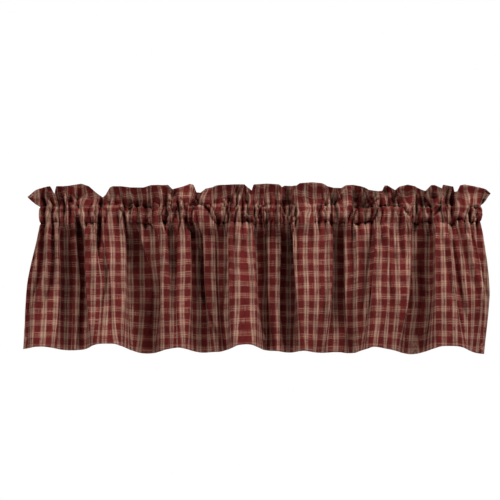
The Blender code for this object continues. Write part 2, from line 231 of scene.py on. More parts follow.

# Creases of the heading, in millimetres: how far each stands out, or below zero how deep it is
# drawn in, then its half width, and its path as places and heights.
Ridge = namedtuple("Ridge", "out half_width path")
RIDGES = [Ridge(*row) for row in (
    (8, 2.9, ((-452, 51), (-450, 35), (-445, 25), (-439, 18), (-444, 10), (-447, 2), (-445, -7),
        (-444, -23))),
    (-8, 2.9, ((-461, 46), (-454, 26), (-447, 15))),
    (-11, 3.3, ((-429, 46), (-422, 28), (-417, 16))),
    (8, 2.0, ((-415, 57), (-411, 41), (-406, 23), (-402, 12), (-401, 3))),
    (-8, 2.0, ((-417, 43), (-412, 28), (-408, 18))),
    (8, 2.2, ((-396, 41), (-388, 28), (-385, 21), (-391, 13))),
    (-11, 2.7, ((-381, 19), (-378, 8))),
    (-23, 5.6, ((-381, -2), (-382, -16), (-382, -48))),
    (8, 2.5, ((-346, 18), (-352, 7), (-352, -2), (-345, -13), (-338, -23))),
    (-17, 2.9, ((-339, -2), (-334, -9), (-335, -23), (-336, -48))),
    (6, 2.5, ((-322, 10), (-325, -4), (-328, -23), (-329, -48))),
    (6, 2.2, ((-294, 9), (-289, -7), (-287, -23), (-286, -48))),
    (-15, 2.9, ((-284, 2), (-281, -11))),
    (10, 2.2, ((-288, 16), (-281, 3), (-276, -9), (-280, -15))),
    (8, 2.2, ((-274, 14), (-264, 20), (-259, 9), (-262, -2))),
    (-10, 2.2, ((-271, 5), (-269, -2))),
    (8, 2.2, ((-245, 19), (-243, 9), (-245, 0), (-247, -11))),
    (-11, 2.7, ((-238, -12), (-228, -14))),
    (4, 1.3, ((-225, 57), (-225, 30), (-225, 16))),
    (8, 1.8, ((-220, 21), (-213, 19), (-207, 14))),
    (8, 2.0, ((-229, 14), (-225, 5), (-229, -6), (-236, -10))),
    (8, 2.0, ((-197, 19), (-195, 9), (-198, 0), (-200, -9))),
    (6, 2.5, ((-189, 46), (-186, 34), (-177, 26))),
    (-8, 2.7, ((-176, 51), (-177, 35))),
    (10, 2.5, ((-188, 15), (-181, 7), (-177, -2), (-182, -13), (-186, -17))),
    (8, 2.0, ((-171, 17), (-175, 5), (-177, -2))),
    (-13, 2.5, ((-191, 7), (-188, -2), (-192, -11))),
    (-11, 2.2, ((-170, -2), (-171, -16))),
    (6, 1.6, ((-168, 14), (-168, 2), (-162, -10))),
    (10, 2.5, ((-167, 32), (-160, 23), (-159, 9), (-159, -2), (-153, -10))),
    (-8, 1.6, ((-170, 28), (-165, 18), (-163, 5))),
    (6, 2.2, ((-143, 25), (-137, 21), (-132, 26))),
    (-23, 4.9, ((-154, -6), (-148, -16), (-141, -31), (-133, -48))),
    (-8, 1.3, ((-131, 43), (-123, 24), (-132, 14), (-138, 5), (-140, -4))),
    (-8, 1.3, ((-123, 24), (-106, 14), (-98, 3), (-91, -9), (-88, -23))),
    (10, 2.2, ((-109, 19), (-97, 10), (-90, -4), (-84, -23))),
    (6, 2.2, ((-131, 5), (-134, -9), (-127, -31))),
    (8, 1.8, ((-70, 30), (-62, 20), (-66, 11), (-79, 10))),
    (-6, 4.5, ((-91, 25), (-75, 21))),
    (-17, 3.1, ((-81, -9), (-77, -21))),
    (-13, 2.7, ((-59, 3), (-59, -7), (-61, -21))),
    (-10, 2.2, ((-70, -13), (-70, -21))),
    (8, 1.8, ((-52, -9), (-45, 5), (-39, 16), (-36, 26))),
    (6, 1.6, ((-36, 41), (-35, 23), (-32, 11))),
    (10, 2.2, ((-32, 5), (-22, -2), (-11, -11), (-4, -13))),
    (10, 2.2, ((9, 18), (2, 5), (0, -6), (-4, -13))),
    (-11, 2.0, ((-3, 9), (-4, 0))),
    (-17, 3.3, ((-20, -9), (-18, -19))),
    (-15, 2.9, ((-7, -16), (-4, -26))),
    (-10, 3.3, ((-40, 60), (-39, 32))),
    (-8, 3.3, ((-59, 39), (-58, 26))),
    (-10, 2.5, ((-22, 31), (-18, 22))),
    (6, 1.8, ((-25, 60), (-15, 41), (-11, 30))),
    (10, 2.2, ((7, 20), (14, 9), (19, -2), (18, -14))),
    (6, 2.0, ((4, 2), (11, -10), (17, -14))),
    (-11, 2.7, ((22, -7), (22, -23), (21, -48))),
    (10, 2.0, ((31, 10), (33, -2), (29, -16), (27, -31), (26, -48))),
    (6, 1.8, ((47, 0), (53, -9), (58, -23), (60, -48))),
    (-10, 2.2, ((40, -4), (40, -21))),
    (6, 1.6, ((51, 60), (49, 35), (51, 26))),
    (-13, 3.3, ((66, 59), (67, 35), (76, 25), (83, 18))),
    (10, 2.2, ((49, 18), (56, 5), (63, -7), (69, -17))),
    (10, 2.2, ((75, 20), (81, 11), (76, -2), (69, -17))),
    (-11, 2.0, ((62, 10), (64, 1))),
    (10, 2.2, ((90, -5), (81, -12), (76, -31), (73, -48))),
    (6, 2.2, ((145, 46), (147, 30), (153, 22))),
    (-8, 2.0, ((154, 43), (154, 26))),
    (6, 2.0, ((136, 15), (129, 5), (127, -5))),
    (6, 2.0, ((129, -9), (129, -31))),
    (-11, 2.7, ((137, 2), (140, -11), (142, -17))),
    (6, 1.8, ((150, 18), (147, 8), (154, -1))),
    (-11, 2.0, ((158, 0), (162, -8))),
    (8, 1.6, ((166, 1), (165, -11), (170, -18), (173, -6))),
    (6, 2.0, ((159, -23), (162, -48))),
    (6, 1.8, ((183, 44), (173, 23), (174, 10))),
    (-15, 2.7, ((178, -15), (194, -19))),
    (-10, 1.6, ((208, 7), (199, -7), (194, -20))),
    (-11, 6.2, ((213, 50), (209, 25))),
    (10, 2.0, ((229, 52), (222, 35), (216, 24))),
    (8, 1.6, ((216, 19), (222, 14), (228, 10))),
    (-6, 1.6, ((218, 22), (236, 18))),
    (-13, 10.0, ((236, 41), (261, 37))),
    (8, 2.0, ((261, 36), (245, 25), (234, 18))),
    (10, 2.5, ((209, 11), (206, 2), (202, -13), (200, -31), (199, -48))),
    (6, 2.0, ((236, 12), (241, 3))),
    (8, 2.0, ((257, 15), (254, 0), (249, -14))),
    (-10, 2.2, ((261, -2), (261, -16))),
    (10, 2.2, ((264, 13), (265, 0), (261, -16), (259, -31), (257, -48))),
    (6, 1.8, ((279, 21), (279, 12))),
    (8, 2.2, ((299, 13), (297, 0), (299, -13), (299, -31))),
    (10, 2.2, ((314, 13), (315, -4), (315, -16), (319, -31), (320, -48))),
    (-10, 1.6, ((259, 15), (267, 18), (297, 16), (311, 16), (324, 2), (334, -11))),
    (-11, 1.8, ((258, 2), (253, -16))),
    (-17, 4.9, ((277, 57), (276, 41), (274, 25))),
    (-15, 3.8, ((299, 46), (297, 30), (302, 17))),
    (6, 1.8, ((309, 53), (307, 37), (309, 22), (317, 12))),
    (8, 2.0, ((340, 25), (339, 5), (337, -10))),
    (-11, 1.8, ((343, 43), (345, 23), (342, 3))),
    (8, 1.3, ((358, 39), (361, 18), (358, 3))),
    (6, 2.0, ((347, 8), (355, -3))),
    (-19, 4.5, ((340, -13), (353, -23))),
    (-15, 10.0, ((379, 46), (381, 30))),
    (-13, 2.2, ((363, 46), (363, 30), (367, 23))),
    (-13, 2.2, ((396, 17), (390, 5), (378, -7), (374, -19))),
    (8, 1.6, ((395, 21), (387, 10), (381, 0))),
    (8, 2.2, ((368, 20), (370, 5), (371, -7))),
    (8, 2.2, ((401, 26), (399, 10), (403, -4), (404, -23), (404, -48))),
    (6, 1.8, ((381, -7), (383, -31), (384, -48))),
    (8, 1.3, ((407, 21), (413, 13), (411, 3))),
    (10, 2.2, ((419, 53), (413, 37), (411, 24))),
    (-15, 2.9, ((424, 48), (422, 30), (416, 17))),
    (-10, 2.2, ((401, 43), (401, 27))),
    (-10, 4.5, ((417, 10), (419, -9))),
    (4, 4.0, ((432, 26), (433, -4))),
    (-13, 1.8, ((422, -15), (434, -10), (445, -17), (451, -24))),
    (-13, 3.3, ((456, 5), (456, -13), (458, -26))),
    (10, 5.6, ((465, 10), (467, 1))),
    (8, 2.0, ((479, 2), (472, -9), (468, -18), (465, -34))),
    (-10, 3.3, ((490, 35), (483, 19))))]

# Long creases of the skirt, in the same way
LONG_RIDGES = [Ridge(*row) for row in (
    (14, 6, ((-443, -20), (-443, -95), (-451, -138), (-472, -213), (-480, -252))),
    (7, 5, ((-425, -22), (-424, -100), (-426, -190))),
    (-6, 4, ((-452, -22), (-455, -90))),
    (-6, 4, ((-434, -22), (-435, -90))),
    (6, 5, ((-387, -22), (-384, -100))),
    (8, 4, ((-342, -28), (-352, -70), (-362, -105), (-361, -118))),
    (-8, 4, ((-331, -28), (-338, -70), (-348, -100))),
    (6, 4, ((-361, -112), (-356, -200), (-352, -275))),
    (-10, 4, ((-316, -112), (-319, -165), (-339, -258))),
    (5, 4, ((-329, -30), (-331, -120), (-322, -180))),
    (6, 4, ((-193, -20), (-194, -105), (-190, -150))),
    (-10, 6, ((-180, -22), (-178, -140))),
    (-8, 4, ((-119, -66), (-112, -172), (-91, -224), (-74, -275))),
    (6, 4, ((-127, -66), (-122, -172), (-101, -224), (-84, -275))),
    (6, 4, ((-56, -22), (-53, -105), (-62, -230), (-66, -270))),
    (5, 4, ((-9, -22), (-2, -160), (6, -270))),
    (6, 4, ((6, -240), (18, -262), (30, -290))),
    (-6, 3, ((0, -240), (11, -264), (22, -290))),
    (8, 4, ((79, -22), (81, -180))),
    (5, 5, ((160, -25), (160, -150), (150, -270))),
    (-6, 5, ((150, -180), (140, -280))),
    (8, 4, ((256, -30), (250, -100), (235, -214), (215, -275))),
    (5, 5, ((276, -25), (289, -143), (308, -252))),
    (6, 4, ((316, 0), (315, -60), (322, -120))),
    (6, 4, ((380, -30), (378, -120), (372, -260))),
    (9, 5, ((407, -55), (419, -152), (431, -214), (451, -263))),
    (-3, 4, ((414, -55), (427, -152), (441, -214), (462, -263))),
    (9, 5, ((449, -45), (461, -111), (483, -175), (490, -240))))]
FADE = 0.45
START_FADE = 0.04
EDGE_POWER = 1.7
BESIDE = 0.6
BESIDE_PLACE = 2.0
BESIDE_WIDTH = 0.8
LOBE_FOOT = 0.052
LOBE_FADE = 0.025


def section(level, outs):
    """Line of folds of one level, with the arc length at the end of each fold."""
    ends = np.array([getattr(f, level.name) for f in FOLDS], float) * MM
    widths = np.diff(ends, prepend=level.start * MM)
    room = SIDE_SHARE * np.minimum(widths[:-1], widths[1:]) / (1 - level.bite)
    slope = np.minimum(level.slope * MM, room)
    falling = outs[:-1] > outs[1:]
    corners = np.empty((2 * len(FOLDS), 2))
    corners[0, 0] = level.start * MM
    corners[1:-1:2, 0] = ends[:-1] - slope * np.where(falling, level.bite, 1 - level.bite)
    corners[2::2, 0] = ends[:-1] + slope * np.where(falling, 1 - level.bite, level.bite)
    corners[-1, 0] = ends[-1]
    corners[:, 1] = np.repeat(-outs, 2)
    run = np.concatenate([[0], np.cumsum(np.linalg.norm(np.diff(corners, axis=0), axis=1))])
    steps = np.arange(0, run[-1], FINE)
    line = np.stack([np.interp(steps, run, corners[:, i]) for i in (0, 1)], axis=1)
    reach = int(4 * level.roundness * MM / FINE)
    bell = np.exp(-0.5 * (np.arange(-reach, reach + 1) * FINE / (level.roundness * MM)) ** 2)
    bell /= bell.sum()
    before = 2 * line[0] - line[reach:0:-1]
    after = 2 * line[-1] - line[-2:-reach - 2:-1]
    long_line = np.concatenate([before, line, after])
    line = np.stack([np.convolve(long_line[:, i], bell, "valid") for i in (0, 1)], axis=1)
    arc = np.concatenate([[0], np.cumsum(np.linalg.norm(np.diff(line, axis=0), axis=1))])
    middles = (run[1:-1:2] + run[2::2]) / 2
    marks = np.interp(middles / FINE, np.arange(len(arc)), arc)
    return line, arc, np.concatenate([[0], marks, arc[-1:]])


def scaled_to_cloth(level, outs):
    """The same folds, all deeper or all shallower, so that the section is as long as the cloth."""
    low, high = 0.3, 3.0
    for _ in range(12):
        scale = (low + high) / 2
        if section(level, scale * outs)[1][-1] > FLAT_WIDTH:
            high = scale
        else:
            low = scale
    return scale * outs


def settled_sections():
    """Sections in which a fold short of cloth is let out and a fold with too much is taken in."""
    first = {v.name: np.array([getattr(f, "out_" + v.name) for f in FOLDS]) * MM for v in LEVELS}
    loose = [v for v in LEVELS if v.name not in ("top", "stitch")]
    side = {}
    for level in loose:
        first[level.name] = scaled_to_cloth(level, first[level.name])
        around = np.pad(first[level.name], 1, mode="edge")
        side[level.name] = np.sign(2 * around[1:-1] - around[:-2] - around[2:])
    outs = {name: depths.copy() for name, depths in first.items()}
    for _ in range(SETTLING_ROUNDS):
        held = np.array([np.diff(section(v, outs[v.name])[2]) for v in loose])
        share = held.mean(axis=0) * FLAT_WIDTH / held.mean(axis=0).sum()
        for level, cloth in zip(loose, held):
            outs[level.name] += LETTING_OUT * side[level.name] * (share - cloth)
            outs[level.name] -= HOLDING * (outs[level.name] - first[level.name])
    return [section(v, outs[v.name]) for v in LEVELS]


def at_columns(line_set, places):
    """Points of one section at the columns, whose places are fold numbers."""
    line, arc, marks = line_set
    at = np.interp(places, np.arange(len(marks)), marks)
    return np.stack([np.interp(at, arc, line[:, i]) for i in (0, 1)], axis=1)


def column_places(lines, count):
    """Fold numbers of the columns: even along the stitches, and closer where the cloth bends."""
    fine = np.linspace(0, len(FOLDS), 40 * len(FOLDS) + 1)
    weight = np.zeros(len(fine) - 1)
    for line_set, stretch in zip(lines, COLUMN_WEIGHTS):
        steps = np.diff(at_columns(line_set, fine), axis=0)
        bend = np.abs(np.gradient(np.unwrap(np.arctan2(steps[:, 1], steps[:, 0]))))
        weight += np.linalg.norm(steps, axis=1) * stretch + np.sqrt(bend) * BEND_WEIGHT
    total = np.concatenate([[0], np.cumsum(weight)])
    return np.interp(np.linspace(0, total[-1], count), total, fine)


def blend(keys, heights, z):
    """Monotone curve through the sections at key heights, taken at height z."""
    i = int(np.clip(np.searchsorted(-np.array(heights), -z) - 1, 0, len(heights) - 2))
    gaps = np.diff(heights)
    slopes = [(keys[k + 1] - keys[k]) / gaps[k] for k in range(len(gaps))]

    def tangent(k):
        if k == 0:
            return slopes[0]
        if k == len(gaps):
            return slopes[-1]
        same = slopes[k - 1] * slopes[k] > 0
        mean = 2 * slopes[k - 1] * slopes[k] / np.where(same, slopes[k - 1] + slopes[k], 1)
        return np.where(same, mean, 0)

    t = (z - heights[i]) / gaps[i]
    a = (1 + 2 * t) * (1 - t) ** 2 * keys[i] + t * (1 - t) ** 2 * gaps[i] * tangent(i)
    b = t * t * (3 - 2 * t) * keys[i + 1] + t * t * (t - 1) * gaps[i] * tangent(i + 1)
    return a + b


def wandering(count, bumps, seed):
    """Smooth random line from about -1 to 1."""
    knots = np.random.default_rng(seed).uniform(-1, 1, bumps)
    x = np.linspace(0, bumps - 1, count)
    left = np.minimum(x.astype(int), bumps - 2)
    t = x - left
    t = t * t * (3 - 2 * t)
    return knots[left] * (1 - t) + knots[left + 1] * t


def crumple(x, z, size, seed):
    """Smooth random field from about -1 to 1 with bumps of the given size."""
    waves, peak, flattened = 12, 3.5, 0.6
    rng = np.random.default_rng(seed)
    field = np.zeros(np.broadcast(x, z).shape)
    for _ in range(waves):
        angle, phase = rng.uniform(0, 2 * np.pi, 2)
        pace = 2 * np.pi / size * rng.uniform(0.6, 1.4)
        field = field + np.sin(pace * (np.cos(angle) * x + flattened * np.sin(angle) * z) + phase)
    return field / peak


def gathers(x, z):
    """Round ridges and pinched valleys of the gathers, from 0 to 1, with fullness and reach."""
    levels = np.array([g[:5] for g in GATHERS], float).T * MM
    heights = np.array(GATHER_LEVELS)[::-1]
    order = np.arange(len(GATHERS))
    wave, fullness, reach = (np.empty(x.shape) for _ in range(3))
    for i, (row, height) in enumerate(zip(x, z)):
        places = [np.interp(height.mean(), heights, levels[::-1, k]) for k in order]
        wave[i] = np.abs(np.cos(np.pi * np.interp(row, places, order))) ** GATHER_POWER
        fullness[i] = np.interp(row, places, [g.fullness for g in GATHERS])
        reach[i] = np.interp(row, places, [g.reach * MM for g in GATHERS])
    return wave, fullness, reach


def near_path(x, z, path):
    """Distance to a path of straight stretches, and how far along the path, from 0 to 1."""
    path = np.array(path, float) * MM
    lengths = np.linalg.norm(np.diff(path, axis=0), axis=1)
    before = np.concatenate([[0], np.cumsum(lengths)])
    nearest, along = np.full(x.shape, np.inf), np.zeros(x.shape)
    for start, end, length, run in zip(path[:-1], path[1:], lengths, before):
        step = (end - start) / length
        t = np.clip((x - start[0]) * step[0] + (z - start[1]) * step[1], 0, length)
        gap = np.hypot(x - start[0] - t * step[0], z - start[1] - t * step[1])
        closer = gap < nearest
        nearest = np.where(closer, gap, nearest)
        along = np.where(closer, (run + t) / before[-1], along)
    return nearest, along


def inside(x, z, outline):
    """Whether each point is inside an outline."""
    corners = np.array(outline, float) * MM
    crossings = np.zeros(x.shape, bool)
    for (ax, az), (bx, bz) in zip(corners, np.roll(corners, -1, axis=0)):
        if az != bz:
            crossings ^= ((az > z) != (bz > z)) & (x < ax + (z - az) * (bx - ax) / (bz - az))
    return crossings


def creased(x, z, ridges):
    """How far the creases stand out at each point."""
    out = np.zeros(x.shape)
    for ridge in ridges:
        gap, along = near_path(x, z, ridge.path)
        fade = np.clip(along / START_FADE, 0, 1) * np.clip((1 - along) / FADE, 0, 1)
        gap = gap / (ridge.half_width * MM)
        profile = np.exp(-gap ** EDGE_POWER)
        if ridge.out > 0:
            profile -= BESIDE * np.exp(-((gap - BESIDE_PLACE) / BESIDE_WIDTH) ** 2)
        out += ridge.out * MM * fade * profile
    return out


def covered(x, z, base, smooth):
    """The base with the broad faces laid over it, as distances out to the front."""
    cover = np.zeros(x.shape)
    fade = np.clip((z + LOBE_FOOT) / LOBE_FADE, 0, 1)
    for lobe in LOBES:
        ring = lobe.outline + lobe.outline[:1]
        depth = np.where(inside(x, z, lobe.outline), near_path(x, z, ring)[0], 0)
        edge = np.clip(depth / (lobe.edge * MM), 0, 1)
        shape = np.sqrt(1 - (1 - edge) ** 2) * fade
        cover = np.maximum(cover, np.maximum(smooth + lobe.out * MM - base, 0) * shape)
    return base + cover


def pinched(x, distance):
    """How much of a gather is left at a distance from a row of stitches."""
    pull = np.clip(PINCH * (1 + 2 * crumple(x, 0 * x, GATHER_PULL, 9)), 0, MOST_PULL)
    return 1 - pull * np.exp(-(distance / PINCH_REACH) ** 2)


def puckered(x, z):
    """The small puckers and dents beside the stitches."""
    return PUCKER * crumple(x, 0.5 * z, PUCKER_SIZE, 6) + DENT * crumple(x, z, DENT_SIZE, 5)


LINES = settled_sections()
PLACES = column_places(LINES, COLUMNS)
TOP_LINE, STITCH_LINE, SKIRT_LINE, MIDDLE_LINE, HEM_LINE = [at_columns(v, PLACES) for v in LINES]
WANDER = 0.0045
LOW_WANDER = WANDER * wandering(COLUMNS, 52, 11)
HIGH_WANDER = WANDER * wandering(COLUMNS, 47, 12)
POCKET_FRONT = 0.015
OPENING = 0.030
HEM_LIFT = 0.10
HEM_EASE = 0.010
ROLL = 0.005
GATHERED_TO = 0.042
OPEN_FROM = 0.048
GATHERED_ROWS = 20
OPEN_ROWS = 30
WANDER_REACH = 0.02
PUCKER_REACH = 0.016
CRUMPLE = 0.0012
CRUMPLE_SIZE = 0.05
CREASE = 0.0005
CREASE_SIZE = 0.02
SEEN_FROM_BELOW = np.radians(8)


def even_outs(x, outs):
    """Distances out of a row with the steps between its folds smoothed away."""
    along = np.linspace(x.min(), x.max(), 500)
    pace = along[1] - along[0]
    reach = int(3 * HEM_EASE / pace)
    bell = np.exp(-0.5 * (np.arange(-reach, reach + 1) * pace / HEM_EASE) ** 2)
    row = np.pad(np.interp(along, x, outs), reach, mode="edge")
    return np.interp(x, along, np.convolve(row, bell / bell.sum(), "valid"))


def skirt_surface():
    """Rows of points of the skirt from the hem up, and the same rows without small creases."""
    heights = np.concatenate([
        np.linspace(-STITCH, -STITCH - GATHERED_TO, GATHERED_ROWS),
        np.linspace(-STITCH - OPEN_FROM, HEM, OPEN_ROWS)[:-1], [HEM + ROLL, HEM]])[::-1]
    keys = (-STITCH, SKIRT_OPEN, SKIRT_MIDDLE, HEM)
    plan = np.array([blend((STITCH_LINE, SKIRT_LINE, MIDDLE_LINE, HEM_LINE), keys, z)
                     for z in heights])
    x, base = plan[:, :, 0], -plan[:, :, 1]
    drop = (-STITCH - heights)[:, None] + np.zeros_like(x)
    z = heights[:, None] + LOW_WANDER * np.exp(-drop / WANDER_REACH)
    even = even_outs(x[0], base[0])
    z = z + (HEM_LIFT * even + np.tan(SEEN_FROM_BELOW) * (even - base[0])) * (drop / drop.max()) ** 2
    wave, fullness, reach = gathers(x, z)
    relief = GATHER_HEIGHT * fullness * wave * pinched(x, drop) - GATHER_DEPTH
    relief *= np.exp(-(drop / (0.6 * reach)) ** 1.3)
    open_share = np.clip(drop / OPENING, 0, 1)
    smooth = base * open_share + np.maximum(base, POCKET_FRONT) * (1 - open_share)
    out = covered(x, z, base + relief, smooth)
    out += creased(x, z, RIDGES + LONG_RIDGES)
    crumpled = CRUMPLE * crumple(x, z, CRUMPLE_SIZE, 3) + CREASE * crumple(x, z, CREASE_SIZE, 4)
    out += crumpled * open_share
    out += puckered(x, z) * np.exp(-(drop / PUCKER_REACH) ** 2)
    points = np.stack([x, -out, z], axis=2)
    flat = np.stack([x, -base, z], axis=2)
    return points, flat


skirt_points, skirt_plan = skirt_surface()


def arc_along(grid, axis):
    """Distance run along the rows (axis 1) or up the columns (axis 0) of a grid of points."""
    step = np.linalg.norm(np.diff(grid, axis=axis), axis=2)
    zero = np.zeros_like(np.take(step, [0], axis=axis))
    return np.concatenate([zero, np.cumsum(step, axis=axis)], axis=axis)


WARP_REPEAT = 0.0237
WEFT_REPEAT = 0.0259
DARK_LINE = 0.72
GRAIN_LEAN = 0.25
TURN = 0.025
SIDE_TURN = 0.012
TURN_GAP = 0.0013
EASE_FROM = 0.35
EASE_OVER = 0.3
TURN_SHARES = (1.0, 0.6, 0.2, 0.02)
SIDE_SHARES = (1.0, 0.6, 0.25, 0.03)


def fold_middles(grid):
    """Run along each row, and run and place at the middle of each fold."""
    middles = np.arange(len(FOLDS)) + 0.5
    run = arc_along(grid[:, :, :2], 1)
    s = np.array([np.interp(middles, PLACES, row) for row in run])
    x = np.array([np.interp(middles, PLACES, row) for row in grid[:, :, 0]])
    return run, s, x


_, middle_run, middle_x = fold_middles(skirt_plan)
HOME_X = middle_x.mean(axis=0)
HOME_U = (middle_run + (HOME_X - middle_x) * (1 - GRAIN_LEAN)).mean(axis=0)
HOME_U *= FLAT_WIDTH / arc_along(skirt_plan[:, :, :2], 1)[:, -1].mean()
grain = np.array([f.grain for f in FOLDS]) * MM
off_grain = HOME_U + grain - HOME_X - DARK_LINE * WARP_REPEAT
HOME_U -= (off_grain + WARP_REPEAT / 2) % WARP_REPEAT - WARP_REPEAT / 2


def cloth_across(grid):
    """Place across the flat cloth of each point: true on the faces of folds, eased on the sides."""
    run, s, x = fold_middles(grid)
    s = s + (HOME_X - x) * (1 - GRAIN_LEAN)
    left = np.clip(np.floor(PLACES - 0.5).astype(int), 0, len(FOLDS) - 1)
    right = np.minimum(left + 1, len(FOLDS) - 1)
    t = np.clip((PLACES - 0.5 - left - EASE_FROM) / EASE_OVER, 0, 1)
    t = t * t * (3 - 2 * t)
    return (HOME_U[left] + run - s[:, left]) * (1 - t) + (HOME_U[right] + run - s[:, right]) * t


def uneven(flat):
    """How far the threads wander from straight lines, for places on the flat cloth."""
    u, v = flat[:, :, 0], flat[:, :, 1]
    return np.stack([0.0009 * crumple(u, v, 0.09, 21), 0.0013 * crumple(u, v, 0.11, 22)], axis=2)


def facing(grid):
    """Unit directions to the front of the cloth, for a grid of rows of points."""
    normal = np.cross(np.gradient(grid, axis=1), np.gradient(grid, axis=0))
    return normal / np.linalg.norm(normal, axis=2)[:, :, None]


def turned_under(grid, flat, axis, runs):
    """Adds cloth turned to the back before the first row or column, at the given distances in."""
    back = grid - facing(grid) * TURN_GAP
    if axis == 1:
        grid, flat, back = (np.swapaxes(v, 0, 1) for v in (grid, flat, back))
    edge, edge_flat = grid[0], flat[0]
    run = arc_along(grid, 0)
    extra, extra_flat = [], []
    for distance in runs:
        at = np.array([[np.interp(distance, run[:, k], back[:, k, i]) for i in range(3)]
                       for k in range(grid.shape[1])])
        extra.append(at)
        mirrored = edge_flat.copy()
        mirrored[:, 1 - axis] -= distance
        extra_flat.append(mirrored)
    extra[-1] = (extra[-1] + edge) / 2 + (edge - grid[1]) * 0.1
    grid = np.concatenate([np.array(extra), grid])
    flat = np.concatenate([np.array(extra_flat), flat])
    if axis == 1:
        grid, flat = np.swapaxes(grid, 0, 1), np.swapaxes(flat, 0, 1)
    return grid, flat


def with_side_hems(grid, flat):
    """The grid with both of its ends turned to the back."""
    runs = [share * SIDE_TURN for share in SIDE_SHARES]
    for _ in range(2):
        grid, flat = turned_under(grid, flat, 1, runs)
        grid, flat = grid[:, ::-1] * [-1, 1, 1], flat[:, ::-1] * [-1, 1]
    return grid, flat


def cloth_piece(name, grid, flat, folded_row):
    """Closed sheet around a grid of points, with the flat cloth in metres as its UV map."""
    rows, cols = grid.shape[:2]
    normal = facing(grid) * SHEET / 2
    points = np.concatenate([(grid + normal).reshape(-1, 3), (grid - normal).reshape(-1, 3)])
    index = np.arange(rows * cols).reshape(rows, cols)
    a, b, c, d = index[:-1, :-1], index[:-1, 1:], index[1:, 1:], index[1:, :-1]
    front = np.stack([a, b, c, d], axis=2).reshape(-1, 4)
    back = np.stack([a, d, c, b], axis=2).reshape(-1, 4) + rows * cols
    rim = np.concatenate([index[0, :], index[1:, -1], index[-1, -2::-1], index[-2:0:-1, 0]])
    after = np.roll(rim, -1)
    edge = np.stack([rim, rim + rows * cols, after + rows * cols, after], axis=1)
    mesh = bpy.data.meshes.new(name)
    mesh.from_pydata(points.tolist(), [], np.concatenate([front, back, edge]).tolist())
    uv_map = mesh.uv_layers.new(name="flat_cloth")
    corner = np.empty(len(mesh.loops), int)
    mesh.loops.foreach_get("vertex_index", corner)
    both = np.concatenate([flat.reshape(-1, 2)] * 2).astype(np.float32)
    uv_map.data.foreach_set("uv", both[corner].reshape(-1))
    mesh.shade_smooth()
    ends = np.empty(2 * len(mesh.edges), int)
    mesh.edges.foreach_get("vertices", ends)
    at_row = (ends.reshape(-1, 2) // cols % rows == folded_row).all(axis=1)
    mesh.attributes.new("sharp_edge", "BOOLEAN", "EDGE").data.foreach_set("value", at_row)
    mesh.update()
    piece = bpy.data.objects.new(name, mesh)
    bpy.context.scene.collection.objects.link(piece)
    return piece


def computed(tree, operation, *values):
    """Output of a math node; each value is a number or the output of another node."""
    node = tree.nodes.new("ShaderNodeMath")
    node.operation = operation
    for socket, value in zip(node.inputs, values):
        if isinstance(value, (int, float)):
            socket.default_value = value
        else:
            tree.links.new(value, socket)
    return node.outputs[0]


def stripes(tree, place, stops):
    """Square root of the colour across one repeat of the plaid."""
    node = tree.nodes.new("ShaderNodeValToRGB")
    elements = node.color_ramp.elements
    elements.remove(elements[-1])
    elements[0].position, elements[0].color = stops[0][0], (*np.sqrt(stops[0][1]), 1)
    for position, colour in stops[1:]:
        elements.new(position).color = (*np.sqrt(colour), 1)
    tree.links.new(place, node.inputs[0])
    return node.outputs["Color"]


def cloth_noise(tree, u, v, size_u, size_v, detail):
    """Noise over the flat cloth, stretched to the given sizes."""
    combine = tree.nodes.new("ShaderNodeCombineXYZ")
    tree.links.new(computed(tree, "DIVIDE", u, size_u), combine.inputs[0])
    tree.links.new(computed(tree, "DIVIDE", v, size_v), combine.inputs[1])
    noise = tree.nodes.new("ShaderNodeTexNoise")
    noise.noise_dimensions = "2D"
    noise.inputs["Scale"].default_value = 1.0
    noise.inputs["Detail"].default_value = detail
    tree.links.new(combine.outputs[0], noise.inputs["Vector"])
    return noise.outputs["Fac"]


BURGUNDY = (0.100, 0.0095, 0.0082)
ROSE = (0.200, 0.066, 0.051)
SOFT = (0.235, 0.082, 0.061)
TAN = (0.303, 0.171, 0.126)
PALE = (0.375, 0.250, 0.178)
OLIVE = (0.120, 0.068, 0.045)
YARN = 0.0006
WEFT_SHARE = 0.40
WEFT_START = 0.0105
WEAVE_SHARE = 0.22
SLUB_SHARE = 1.5
SLUB_WIDTH = 0.0016
WARP_SLUB = 0.05
WEFT_SLUB = 0.04
WEAR_SIZE = 0.03
WEAR = 0.60
LEAST_TINT = 0.10
WARP_STRIPES = (
    (0.000, BURGUNDY), (0.420, BURGUNDY), (0.475, ROSE), (0.525, TAN), (0.560, PALE), (0.610, PALE),
    (0.640, TAN), (0.690, TAN), (0.705, OLIVE), (0.740, OLIVE), (0.755, TAN), (0.805, TAN),
    (0.830, PALE), (0.880, PALE), (0.905, TAN), (0.950, ROSE), (1.000, BURGUNDY))
WEFT_STRIPES = (
    (0.000, BURGUNDY), (0.430, BURGUNDY), (0.490, ROSE), (0.535, TAN), (0.565, TAN), (0.600, SOFT),
    (0.655, SOFT), (0.680, PALE), (0.710, PALE), (0.735, SOFT), (0.820, SOFT), (0.850, TAN),
    (0.885, TAN), (0.930, ROSE), (1.000, BURGUNDY))


